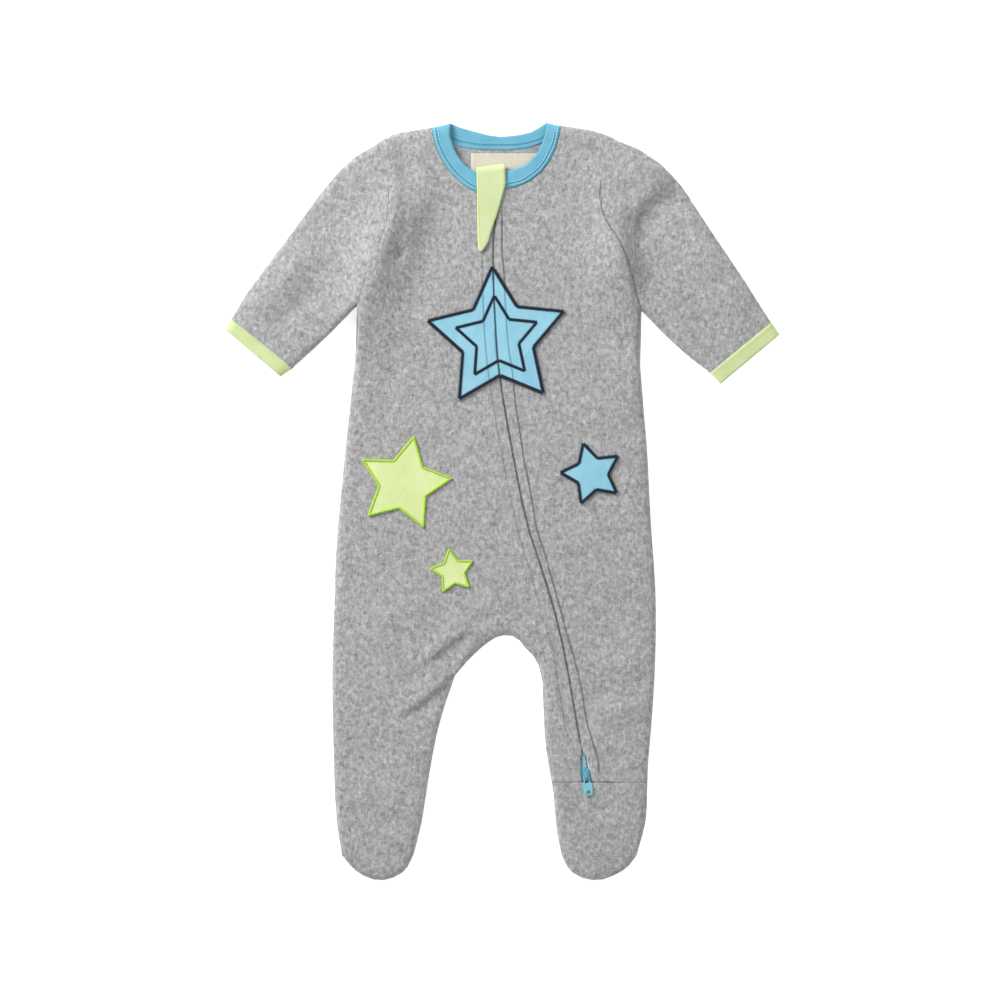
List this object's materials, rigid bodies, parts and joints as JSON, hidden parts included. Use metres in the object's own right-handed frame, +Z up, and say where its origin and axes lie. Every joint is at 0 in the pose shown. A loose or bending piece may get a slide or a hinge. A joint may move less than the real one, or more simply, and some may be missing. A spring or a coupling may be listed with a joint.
{
  "type": "onesie pajama",
  "caption": "Baby's footed zip sleeper in marled grey fleece, lying flat, with lime cuffs, a blue neck binding, a chin tab and sewn-on stars.",
  "frame": {"origin": "on the surface that the garment lies on, below the middle of its outline", "axes": "+Y from the feet to the neck, +X to the wearer's left, +Z up from the back to the front"},
  "size_m": [0.456, 0.6223, 0.01],
  "materials": {
    "fleece_grey": "marled brushed fleece",
    "rib_lime": "jersey cuff",
    "binding_blue": "jersey binding",
    "tab_lime": "jersey tab",
    "label_cream": "satin ribbon",
    "zip_blue": "woven tape and nylon coil",
    "enamel_blue": "gloss enamel",
    "motif_blue": "short fleece",
    "motif_lime": "short fleece"
  },
  "bodies": {
    "garment": {"back_panel": "fleece_grey", "front_right_panel": "fleece_grey", "front_left_panel": "fleece_grey", "left_foot_top": "fleece_grey", "sleeve_right": "fleece_grey", "sleeve_left": "fleece_grey", "cuff_right": "rib_lime", "cuff_left": "rib_lime", "neck_binding": "binding_blue", "chin_tab": "tab_lime", "neck_label": "label_cream", "zip_tape_right": "zip_blue", "zip_tape_left": "zip_blue", "zip_coil": "zip_blue", "zip_slider": "enamel_blue", "star_sky_right": "motif_blue", "star_sky_left": "motif_blue", "star_lime": "motif_lime", "star_small_sky": "motif_blue", "star_small_lime": "motif_lime"},
    "zip_pull": {"zip_pull": "enamel_blue"}
  },
  "joints": [
    {"name": "pull_swing", "type": "hinge", "parent": "garment", "child": "zip_pull", "pos_m": [0.06919, -0.22559, 0.0079], "axis": [-0.9892, -0.1464, 0], "range_deg": [0, 165]}
  ]
}
